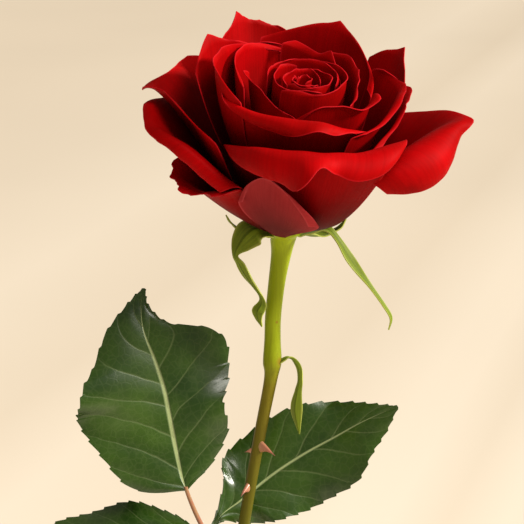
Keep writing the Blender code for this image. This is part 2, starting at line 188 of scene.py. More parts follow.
glaze, glaze_shader = new_tree("off_white_glaze", 0.22, coat=0.6, coat_roughness=0.06)
vase_place = wire(glaze, "ShaderNodeTexCoord", {}).outputs["Object"]
cloud = wire(glaze, "ShaderNodeTexNoise", {"Vector": vase_place, "Scale": 38.0, "Detail": 4.0})
speckle = wire(glaze, "ShaderNodeTexNoise", {"Vector": vase_place, "Scale": 900.0, "Detail": 2.0})
glaze_tone = ramp(glaze, cloud.outputs["Fac"], [(0.3, (0.54, 0.50, 0.43)), (0.7, (0.62, 0.58, 0.51))])
speckle_tone = ramp(glaze, speckle.outputs["Fac"], [(0.26, (0.42, 0.34, 0.25)), (0.32, (1, 1, 1))])
glaze_tone = mixed(glaze, 0.5, glaze_tone, speckle_tone, "MULTIPLY")
vase_z = wire(glaze, "ShaderNodeSeparateXYZ", {"Vector": vase_place}).outputs["Z"]
wiped = reckon(glaze, "ADD", vase_z, reckon(glaze, "MULTIPLY", cloud.outputs["Fac"], 0.0008))
foot_ring = ramp(glaze, reckon(glaze, "MULTIPLY", wiped, 400.0, True), [(0.45, (0, 0, 0)), (0.58, (1, 1, 1))])
glaze.links.new(mixed(glaze, foot_ring, (0.52, 0.40, 0.28), glaze_tone), glaze_shader.inputs["Base Color"])
bumped(glaze, glaze_shader, cloud.outputs["Fac"], 0.15, 0.0006)
settle(vase, "bud_vase", "glaze", ["off_white_glaze"], "vase")

# ---------------------------------------------------------------------------------------------
# Stem: one cut cane of the season, green and smooth, with a slight knee at each joint.
# It stands on the vase's floor, leans on the far side of the rim and widens under the bloom.
# ---------------------------------------------------------------------------------------------

MM = 0.001
BLOOM_BASE = np.array([21.5, 0.0, 282.4])
BLOOM_TURN = np.array(Euler((math.radians(15), math.radians(6), 0)).to_matrix())

# Centre and radius, mm
STEM = [(-13.57, 2.0, 6.4, 1.93), (4.07, 0.0, 150, 1.93), (8.2, 0, 180, 1.93), (13.0, 0, 208, 1.95)]
STEM += [(16.6, 0, 227, 2.2), (17.1, 0, 233, 3.0), (17.2, 1.0, 240, 2.65), (17.4, 1.6, 248, 2.6)]
STEM += [(18.6, 2.6, 259, 2.75), (20.0, 3.2, 268, 3.3), (20.55, 2.5, 272.9, 4.1)]
stem_line = smooth(STEM, 140)
stem = draw_out([tuple(float(value) for value in row * MM) for row in stem_line], 40)

cane, cane_shader = new_tree("green_cane", 0.42, specular=0.12, coat=0.02, coat_roughness=0.3)
cane_place = wire(cane, "ShaderNodeTexCoord", {}).outputs["Object"]
drawn = wire(cane, "ShaderNodeMapping", {"Vector": cane_place, "Scale": (1.0, 1.0, 0.05)}).outputs[0]
fibre = wire(cane, "ShaderNodeTexNoise", {"Vector": drawn, "Scale": 1400.0, "Detail": 3.0}).outputs["Fac"]
patch = wire(cane, "ShaderNodeTexNoise", {"Vector": cane_place, "Scale": 75.0, "Detail": 5.0}).outputs["Fac"]
cane_z = wire(cane, "ShaderNodeSeparateXYZ", {"Vector": cane_place}).outputs["Z"]
cane_z = reckon(cane, "ADD", cane_z, reckon(cane, "MULTIPLY", patch, 0.012))
CANE_TONES = [(0.00, (0.07, 0.10, 0.006)), (0.55, (0.08, 0.09, 0.004)), (0.76, (0.12, 0.10, 0.006))]
CANE_TONES += [(0.825, (0.18, 0.15, 0.008)), (0.87, (0.27, 0.33, 0.008)), (1.0, (0.36, 0.45, 0.010))]
cane_tone = ramp(cane, reckon(cane, "DIVIDE", cane_z, 0.280), CANE_TONES)
fibre_tone = ramp(cane, fibre, [(0.3, (0.80, 0.78, 0.70)), (0.7, (1.0, 1.0, 1.0))])
cane_tone = mixed(cane, 0.8, cane_tone, fibre_tone, "MULTIPLY")
pore_lay = wire(cane, "ShaderNodeMapping", {"Vector": cane_place, "Scale": (1.0, 1.0, 0.45)}).outputs[0]
pores = wire(cane, "ShaderNodeTexVoronoi", {"Vector": pore_lay, "Scale": 260.0}).outputs["Distance"]
pores = ramp(cane, pores, [(0.045, (0.55, 0.38, 0.22)), (0.10, (1.0, 1.0, 1.0))])
cane_tone = mixed(cane, 0.7, cane_tone, pores, "MULTIPLY")
for scar, reach in (((0.0186, -0.0008, 0.2464), 0.0005), ((0.0192, -0.0012, 0.2335), 0.0014)):
    off = wire(cane, "ShaderNodeVectorMath", {0: cane_place, 1: scar}, operation="DISTANCE").outputs["Value"]
    bruise = reckon(cane, "SUBTRACT", 1.3, reckon(cane, "DIVIDE", off, reach), True)
    cane_tone = mixed(cane, reckon(cane, "MULTIPLY", bruise, 0.7), cane_tone, (0.26, 0.09, 0.02))
cane.links.new(cane_tone, cane_shader.inputs["Base Color"])
bumped(cane, cane_shader, fibre, 0.25, 0.0002)
settle(stem, "cane", "stem", ["green_cane"], "stem")

# ---------------------------------------------------------------------------------------------
# Prickles: hooked outgrowths of the cane's skin, each on a long oval foot, dark at the point.
# They aren't fixed to the wood, and come away clean when pushed sideways.
# ---------------------------------------------------------------------------------------------

# Height, bearing round the cane, length, droop and half-length of the foot, mm
PRICKLES = [(204.2, -50, 6.5, -1.6, 2.3), (191.4, -120, 4.2, -1.8, 2.0)]
PRICKLES += [(202.4, 180, 2.2, -0.6, 1.5), (171.5, 55, 3.8, -1.4, 1.8)]


def beside_cane(height, bearing, off):
    """A point off the cane's skin by the given distance, mm."""
    row = stem_line[int(np.argmin(np.abs(stem_line[:, 2] - height)))]
    turn = math.radians(bearing)
    return row[:3] + (row[3] + off) * np.array([math.cos(turn), math.sin(turn), 0])


horn, horn_shader = new_tree("prickle_horn", 0.34, coat=0.2, coat_roughness=0.2)
horn_reach = wire(horn, "ShaderNodeAttribute", {}, attribute_name="reach").outputs["Fac"]
horn_place = wire(horn, "ShaderNodeTexCoord", {}).outputs["Object"]
horn_noise = {"Vector": horn_place, "Scale": 1500.0, "Detail": 3.0}
horn_grain = wire(horn, "ShaderNodeTexNoise", horn_noise).outputs["Fac"]
HORN_TONES = [(0.0, (0.30, 0.26, 0.06)), (0.18, (0.50, 0.22, 0.12)), (0.7, (0.46, 0.16, 0.10))]
HORN_TONES.append((1.0, (0.16, 0.05, 0.03)))
horn_tone = mixed(horn, 0.35, ramp(horn, horn_reach, HORN_TONES), horn_grain, "MULTIPLY")
horn.links.new(horn_tone, horn_shader.inputs["Base Color"])
bumped(horn, horn_shader, horn_grain, 0.2, 0.0001)

for number, (height, bearing, length, droop, foot) in enumerate(PRICKLES):
    bpy.ops.mesh.primitive_circle_add(vertices=24, radius=foot * MM, fill_type="NGON")
    prickle = bpy.context.object
    bpy.ops.object.mode_set(mode="EDIT")
    bpy.ops.mesh.select_mode(type="FACE")
    bpy.ops.mesh.select_all(action="SELECT")
    bpy.ops.transform.resize(value=(1.0, 0.5, 1.0))
    rise, wide = 0.0, 1.0
    for share in np.linspace(0, 1, 13)[1:]:
        lift = (length + 0.8) * MM * (share - rise)
        hook = droop * MM * (share**2 - rise**2)
        thin = max(0.03, (1 - share) ** 1.6 * 0.92 + 0.08 * (1 - share))
        centre = (-droop * -MM * share**2, 0, (length + 0.8) * MM * share)
        bpy.ops.mesh.extrude_region_move(TRANSFORM_OT_translate={"value": (hook, 0, lift)})
        bpy.ops.transform.resize(value=(thin / wide, math.sqrt(thin / wide), 1), center_override=centre)
        rise, wide = share, thin
    bpy.ops.mesh.select_all(action="SELECT")
    bpy.ops.mesh.normals_make_consistent(inside=False)
    bpy.ops.object.mode_set(mode="OBJECT")
    bpy.ops.object.shade_smooth_by_angle(angle=math.radians(50))
    reach = prickle.data.attributes.new("reach", "FLOAT", "POINT")
    reach.data.foreach_set("value", [v.co.z / ((length + 0.8) * MM) for v in prickle.data.vertices])
    turn = math.radians(bearing)
    out = Vector((math.cos(turn), math.sin(turn), 0))
    up = Vector((0, 0, 1))
    frame_of_foot = Matrix((up, out.cross(up), out)).transposed().to_4x4()
    frame_of_foot.translation = Vector(beside_cane(height, bearing, -0.8) * MM)
    prickle.data.transform(frame_of_foot)
    settle(prickle, f"thorn_{number + 1}", "prickle", ["prickle_horn"], f"prickle_{number + 1}")

# ---------------------------------------------------------------------------------------------
# Bract: a small stalkless leaf left at the cane's upper joint, folded along its middle.
# It stands out on a short neck, then bends over and hangs beside the cane.
# ---------------------------------------------------------------------------------------------

# Midrib beyond the cane's skin with its half-width, mm
BRACT_HEIGHT = 233.9
BRACT = [(-0.4, -1, -0.5, 0.9), (2.0, -1.5, 0.9, 0.7), (3.8, -2, 0.3, 0.8), (5.5, -2.5, -2.4, 1.0)]
BRACT += [(5.7, -2.7, -6.4, 1.1), (5.1, -2.8, -9.9, 1.3), (4.3, -3, -16.3, 2.3), (5.8, -3, -24.1, 0.15)]
BRACT_THICKNESS = 0.35


def blade(path, side, left, right, across, along, sag=0.0, fold=0.0, teeth=0, tooth=0.0, wave=0.0):
    """Points over a leaf from its midrib, the way its right side faces, and its half-widths, mm."""
    mid = smooth(path, along)
    ahead = np.gradient(mid, axis=0)
    side = np.tile(np.asarray(side, float), (along, 1))
    side -= ahead * (np.sum(side * ahead, 1) / np.sum(ahead * ahead, 1))[:, None]
    side /= np.linalg.norm(side, axis=1, keepdims=True)
    up = np.cross(side, ahead)
    up /= np.linalg.norm(up, axis=1, keepdims=True)
    left, right = smooth(left, along), smooth(right, along)
    v = np.linspace(0, 1, along)
    u = np.linspace(-1, 1, across)[:, None, None]
    saw = (v * teeth) % 1.0
    cut = tooth * (0.5 - saw**1.4) * np.clip(6 * v, 0, 1) if teeth else 0 * v
    half = np.where(u < 0, left[None, :, None], right[None, :, None])
    half = np.maximum(half - cut[None, :, None] * np.abs(u) ** 6, 0.05)
    lift = fold * np.abs(u) - sag * u**2
    ripple = wave * np.sin(v * 17 + 2.0 * np.sign(u[:, 0])) * np.abs(u[:, 0]) ** 2 * np.sin(math.pi * v)
    return mid + side * u * half + up * (lift * half + ripple[:, :, None])


def laid_sheet(points, thickness, back, edge):
    """A flat grid carried to the given points and thickened. Material 0 is its front."""
    across, along = points.shape[:2]
    bpy.ops.mesh.primitive_grid_add(x_subdivisions=across - 1, y_subdivisions=along - 1, size=2)
    made = bpy.context.object
    flat = np.empty(len(made.data.vertices) * 3)
    made.data.vertices.foreach_get("co", flat)
    flat = flat.reshape(-1, 3)
    i = np.rint((flat[:, 0] + 1) / 2 * (across - 1)).astype(int)
    j = np.rint((flat[:, 1] + 1) / 2 * (along - 1)).astype(int)
    made.data.vertices.foreach_set("co", (points[i, j] * MM).ravel())
    made.data.update()
    for slot_number in range(3):
        made.data.materials.append(None)
    thicken = made.modifiers.new("Thickness", "SOLIDIFY")
    thicken.thickness = thickness * MM
    thicken.offset = 0
    thicken.material_offset = back
    thicken.material_offset_rim = edge
    bpy.ops.object.modifier_apply(modifier="Thickness")
    bpy.ops.object.shade_smooth_by_angle(angle=math.radians(60))
    return made


calyx, calyx_shader = new_tree("sepal_green", 0.55, specular=0.2, sheen=0.08, sheen_tint=(0.9, 1.0, 0.6))
calyx_place = wire(calyx, "ShaderNodeTexCoord", {}).outputs["Object"]
calyx_uv = wire(calyx, "ShaderNodeTexCoord", {}).outputs["UV"]
calyx_lay = wire(calyx, "ShaderNodeMapping", {"Vector": calyx_uv, "Scale": (14.0, 1.2, 1.0)}).outputs[0]
calyx_noise = {"Vector": calyx_lay, "Scale": 3.0, "Detail": 4.0}
calyx_rib = wire(calyx, "ShaderNodeTexNoise", calyx_noise).outputs["Fac"]
calyx_grain = wire(calyx, "ShaderNodeTexNoise", {"Vector": calyx_place, "Scale": 420.0, "Detail": 4.0})
calyx_tone = ramp(calyx, calyx_rib, [(0.3, (0.09, 0.14, 0.008)), (0.7, (0.24, 0.31, 0.015))])
calyx_across = wire(calyx, "ShaderNodeSeparateXYZ", {"Vector": calyx_uv}).outputs["X"]
calyx_across = reckon(calyx, "ABSOLUTE", reckon(calyx, "SUBTRACT", calyx_across, 0.5))
calyx_margin = ramp(calyx, calyx_across, [(0.38, (0, 0, 0)), (0.5, (1, 1, 1))])
calyx_tone = mixed(calyx, calyx_margin, calyx_tone, (0.40, 0.45, 0.08))
calyx_mid = ramp(calyx, calyx_across, [(0.02, (0.45, 0.50, 0.25)), (0.07, (1, 1, 1))])
calyx_tone = mixed(calyx, 0.7, calyx_tone, calyx_mid, "MULTIPLY")
calyx.links.new(calyx_tone, calyx_shader.inputs["Base Color"])
bumped(calyx, calyx_shader, calyx_grain.outputs["Fac"], 0.35, 0.0003)

bract_rows = np.array(BRACT)
bract_path = bract_rows[:, :3] + beside_cane(BRACT_HEIGHT, 0, 0)
bract_half = bract_rows[:, 3]
bract_grid = blade(bract_path, (0.8, -0.6, 0.1), bract_half, bract_half, 17, 90, fold=0.45, wave=0.25)
bract = laid_sheet(bract_grid, BRACT_THICKNESS, 0, 0)
settle(bract, "joint_bract", "sepal", ["sepal_green"], "bract_leaf")

# ---------------------------------------------------------------------------------------------
# Leaf: one compound leaf, its reddish stalk growing from the cane just above the vase.
# Three toothed leaflets, leathery and glossy above, paler and matt below.
# ---------------------------------------------------------------------------------------------

STALK = [(4.55, -1.0, 159.2, 1.9), (2.6, -2.0, 162.6, 1.3), (0.4, -2.6, 166.0, 1.0)]
STALK += [(-2.6, -3.9, 171.6, 0.95), (-5.0, -5.0, 177.4, 0.88), (-8.0, -6.6, 184.6, 0.8)]
STALK += [(-10.2, -7.8, 190.9, 0.7), (-10.8, -7.9, 193.4, 0.6)]
stalk_line = smooth(STALK, 60)
stalk = draw_out([tuple(float(value) for value in row * MM) for row in stalk_line], 20)

blush, blush_shader = new_tree("reddish_stalk", 0.4, coat=0.1, coat_roughness=0.3)
blush_place = wire(blush, "ShaderNodeTexCoord", {}).outputs["Object"]
blush_patch = wire(blush, "ShaderNodeTexNoise", {"Vector": blush_place, "Scale": 300.0, "Detail": 4.0})
blush_tone = ramp(blush, blush_patch.outputs["Fac"], [(0.3, (0.34, 0.10, 0.065)), (0.7, (0.32, 0.18, 0.08))])
blush.links.new(blush_tone, blush_shader.inputs["Base Color"])
bumped(blush, blush_shader, blush_patch.outputs["Fac"], 0.2, 0.0002)
settle(stalk, "leaf_stalk", "stem", ["reddish_stalk"], "leaf_rachis")

# Each leaflet: the way its right side faces, then its midrib with its half-widths to left and right, mm
LEAFLETS = {
    "leaflet_end": (
        (1.0, 0.1, 0.0),
        [(-10.6, -8, 192.2, 0.4, 0.4), (-12.2, -6.5, 197, 17, 9), (-14.4, -4, 207, 24, 17.5),
         (-16.3, -2, 217, 29, 18), (-17.9, 0, 224.1, 29, 22), (-21.1, 3, 233, 24, 23.5),
         (-24.6, 6, 241.8, 14, 9.5), (-25.6, 9, 249.4, 5, 2.8), (-24.6, 11, 254.9, 0.3, 0.3)],
    ),
    "leaflet_right": (
        (0.1, -0.35, -0.93),
        [(-3.3, -3.1, 176.4, 0.4, 0.4), (0.4, 3.5, 180, 2.5, 2.5), (6.4, 8, 183.2, 10, 9),
         (10.9, 10, 186.4, 15, 13), (18.2, 12, 191.8, 16, 16), (28, 13.5, 198, 16, 17),
         (38.4, 14, 203.8, 13, 16.5), (46.1, 13, 208.6, 8, 11), (53, 11.5, 212.4, 3.5, 6),
         (58.6, 10, 215.1, 0.3, 0.3)],
    ),
    "leaflet_left": (
        (0.0, 0.8, 0.55),
        [(-5.9, -5.4, 175.6, 0.4, 0.4), (-14, -7, 176.6, 10, 9), (-26, -9, 176.6, 15.5, 13.5),
         (-38, -10, 175.4, 16, 14), (-50, -11, 172.6, 13, 12), (-60, -12, 169, 7.5, 7),
         (-67, -13, 164.6, 0.3, 0.3)],
    ),
}
LEAFLET_THICKNESS = 0.35
VEIN_PAIRS = 8


def leaf_tree(name, dark, light, vein, roughness, coat, sheen):
    """Leaf skin with a midrib, forward-swept side veins and a fine net between them, along its own map, with
    lighter patches of painted sheen.
    """
    tree, shader = new_tree(name, roughness, specular=0.25, coat=coat, coat_roughness=0.2, sheen=sheen)
    spots = wire(tree, "ShaderNodeTexCoord", {})
    spot = spots.outputs["Object"]
    uv = wire(tree, "ShaderNodeSeparateXYZ", {"Vector": spots.outputs["UV"]})
    wobble = wire(tree, "ShaderNodeTexNoise", {"Vector": spot, "Scale": 90.0, "Detail": 2.0})
    across = reckon(tree, "MULTIPLY", reckon(tree, "SUBTRACT", uv.outputs["X"], 0.5), 2.0)
    out = reckon(tree, "ABSOLUTE", across)
    stagger = reckon(tree, "MULTIPLY", reckon(tree, "SIGN", across), 0.25 / VEIN_PAIRS)
    swept = reckon(tree, "MULTIPLY", reckon(tree, "POWER", out, 0.85), 0.20)
    along = reckon(tree, "ADD", reckon(tree, "SUBTRACT", uv.outputs["Y"], swept), stagger)
    along = reckon(tree, "ADD", along, reckon(tree, "MULTIPLY", wobble.outputs["Fac"], 0.03))
    phase = reckon(tree, "FRACT", reckon(tree, "MULTIPLY", along, float(VEIN_PAIRS)))
    away = reckon(tree, "ABSOLUTE", reckon(tree, "SUBTRACT", phase, 0.5))
    narrow = reckon(tree, "ADD", reckon(tree, "MULTIPLY", out, 0.035), 0.44)
    side_vein = reckon(tree, "MULTIPLY", reckon(tree, "SUBTRACT", away, narrow), 18.0, True)
    taper = reckon(tree, "SUBTRACT", 0.052, reckon(tree, "MULTIPLY", uv.outputs["Y"], 0.034))
    midrib = reckon(tree, "MULTIPLY", reckon(tree, "SUBTRACT", taper, out), 40.0, True)
    veins = reckon(tree, "MAXIMUM", reckon(tree, "MULTIPLY", side_vein, 0.22), midrib)
    net = wire(
        tree, "ShaderNodeTexVoronoi", {"Vector": spot, "Scale": 420.0}, feature="DISTANCE_TO_EDGE"
    ).outputs["Distance"]
    net = reckon(tree, "MULTIPLY", reckon(tree, "SUBTRACT", 0.12, net), 8.0, True)
    blotch = wire(tree, "ShaderNodeTexNoise", {"Vector": spot, "Scale": 55.0, "Detail": 5.0})
    tone = ramp(tree, blotch.outputs["Fac"], [(0.35, dark), (0.68, light)])
    # Painted sheen: soft lighter grey-green patches stand in for the leaf's glossy highlights.
    painted_sheen = wire(tree, "ShaderNodeTexNoise", {"Vector": spot, "Scale": 34.0, "Detail": 2.0})
    painted_sheen = reckon(tree, "MULTIPLY", reckon(tree, "SUBTRACT", painted_sheen.outputs["Fac"], 0.56), 3.0, True)
    tone = mixed(tree, reckon(tree, "MULTIPLY", painted_sheen, 0.16), tone, (0.22, 0.30, 0.12))
    tone = mixed(tree, reckon(tree, "MULTIPLY", net, 0.04), tone, vein)
    tone = mixed(tree, veins, tone, vein)
    tree.links.new(tone, shader.inputs["Base Color"])
    shine = reckon(tree, "MULTIPLY", blotch.outputs["Fac"], 0.25)
    tree.links.new(reckon(tree, "ADD", shine, roughness - 0.12), shader.inputs["Roughness"])
    puffed = reckon(tree, "MULTIPLY", reckon(tree, "SINE", reckon(tree, "MULTIPLY", phase, math.pi)), 0.6)
    relief = reckon(tree, "SUBTRACT", puffed, reckon(tree, "MULTIPLY", veins, 0.5))
    relief = reckon(tree, "SUBTRACT", relief, reckon(tree, "MULTIPLY", net, 0.03))
    bumped(tree, shader, relief, 0.4, 0.0011)
    return name


leaf_face = leaf_tree(
    "leaf_face", (0.011, 0.036, 0.001), (0.034, 0.080, 0.003), (0.30, 0.36, 0.16), 0.34, 0.6, 0.0
)
leaf_back = leaf_tree("leaf_back", (0.10, 0.17, 0.06), (0.15, 0.23, 0.09), (0.30, 0.36, 0.16), 0.6, 0.0, 0.1)
for name, (side, rows) in LEAFLETS.items():
    rows = np.array(rows)
    grid = blade(
        rows[:, :3], side, rows[:, 3], rows[:, 4], 61, 261, sag=0.12, fold=0.12, teeth=19, tooth=0.8, wave=1.6
    )
    leaflet = laid_sheet(grid, LEAFLET_THICKNESS, 1, 0)
    settle(leaflet, name + "_blade", "leaf", [leaf_face, leaf_back], name)

# ---------------------------------------------------------------------------------------------
# Hip: the cup under the bloom that the stem swells into, where petals and sepals are seated.
# It is the same smooth green skin as the cane.
# ---------------------------------------------------------------------------------------------

CLAW_HALF_ANGLE = 20
WHORL_STEP = 0.8
HIP_FOOT, HIP_DEPTH = 5.3, -5.1
hip_rings = [(0, 0, HIP_DEPTH - 4.9, 4.0), (0, 0, HIP_DEPTH - 2.8, 4.5)]
hip_rings += [(0, 0, HIP_DEPTH - 1.6, HIP_FOOT + 0.2)]
hip_rings += [(0, 0, HIP_DEPTH - 0.6, HIP_FOOT + 0.5), (0, 0, HIP_DEPTH + 0.3, HIP_FOOT - 0.2)]
hip_rings += [(0, 0, 0.5 * HIP_DEPTH, 0.66 * HIP_FOOT), (0, 0, -0.6, 0.9)]
hip = draw_out([tuple(float(value) for value in row * MM) for row in smooth(hip_rings, 36)], 48)
bloom_seat = Matrix.Translation(Vector(BLOOM_BASE * MM)) @ Matrix(BLOOM_TURN.tolist()).to_4x4()
hip.data.transform(bloom_seat)
settle(hip, "hip", "sepal", ["green_cane"], "receptacle")

# ---------------------------------------------------------------------------------------------
# Sepals: five narrow green leaves that wrapped the bud, now bent back under the bloom.
# Each is folded along its middle, broad at the foot, and ends in a long curling tip.
# ---------------------------------------------------------------------------------------------

# Each sepal's midrib, from the bloom's base, with its half-width, and the way its right side faces
SEPALS = {
    "sepal_left": (
        (0.75, -0.5, -0.4),
        [(-4.5, 0, -6.6, 2.6), (-9.0, -2, -5.0, 4.4), (-12.0, -3, -6.2, 5.4), (-14.7, -3.5, -9.6, 3.8),
         (-16.3, -4, -13.4, 1.0), (-14.7, -4, -16.6, 1.7), (-12.5, -4.2, -20.6, 1.9),
         (-9.9, -4.5, -24.2, 1.3),
         (-8.0, -4.5, -27.2, 0.8), (-8.0, -4.5, -29.5, 1.7), (-9.2, -5, -31.6, 2.2), (-8.9, -5, -34.0, 1.4),
         (-7.7, -5, -36.5, 0.15)],
    ),
    "sepal_right": (
        (-0.5, -0.8, -0.3),
        [(3.4, 1, -6.8, 2.4), (5.6, 1, -7.4, 2.5), (9.6, 0, -6.4, 2.2), (13.2, -2, -5.6, 1.7),
         (16.4, -3, -8.8, 1.6), (19.7, -3, -14.2, 1.9), (23.2, -3, -19.2, 1.5), (26.8, -3, -23.9, 1.1),
         (31.3, -3, -30.1, 0.8), (33.5, -3, -34.1, 0.6), (32.9, -3, -38.0, 0.15)],
    ),
    "sepal_back_left": (
        (0.3, -0.9, 0),
        [(-4.2, 3.2, -6.4, 2.8), (-5.9, 4.5, -7.2, 3.0), (-10, 6.5, -8.0, 3.3), (-14, 7, -7.2, 2.2),
         (-17.3, 7, -5.2, 1.2), (-19.3, 7, -2.4, 0.15)],
    ),
    "sepal_back_right": (
        (0.5, -0.8, 0),
        [(2.8, 3.4, -6.8, 2.8), (4.1, 5, -7.8, 3.0), (8.5, 8, -9.6, 3.3), (13.5, 9.5, -9.4, 2.2),
         (17.3, 10, -7.4, 1.2), (19.5, 10, -4.4, 0.15)],
    ),
    "sepal_back": (
        (1, 0, 0),
        [(-0.4, 5.2, -5.8, 2.8), (-0.7, 7.4, -6.8, 3.0), (-0.9, 12, -8.4, 3.5), (-1.3, 17, -12.9, 2.8),
         (-1.9, 19.5, -20.4, 1.8), (-2.5, 19, -27.9, 0.15)],
    ),
}
SEPAL_THICKNESS = 0.4
for name, (side, rows) in SEPALS.items():
    rows = np.array(rows)
    sepal_half = rows[:, 3]
    grid = blade(
        rows[:, :3] + BLOOM_BASE, side, sepal_half, sepal_half, 19, 110, fold=0.35, sag=0.1, wave=0.3
    )
    sepal = laid_sheet(grid, SEPAL_THICKNESS, 0, 0)
    settle(sepal, name + "_green", "sepal", ["sepal_green"], name)

# ---------------------------------------------------------------------------------------------
# Petals: the heart is rolled tight, and each row outside it opens wider and bends further back.
# Every petal is one velvety sheet, dark crimson inside, duller outside, and thin at its lip.
# ---------------------------------------------------------------------------------------------

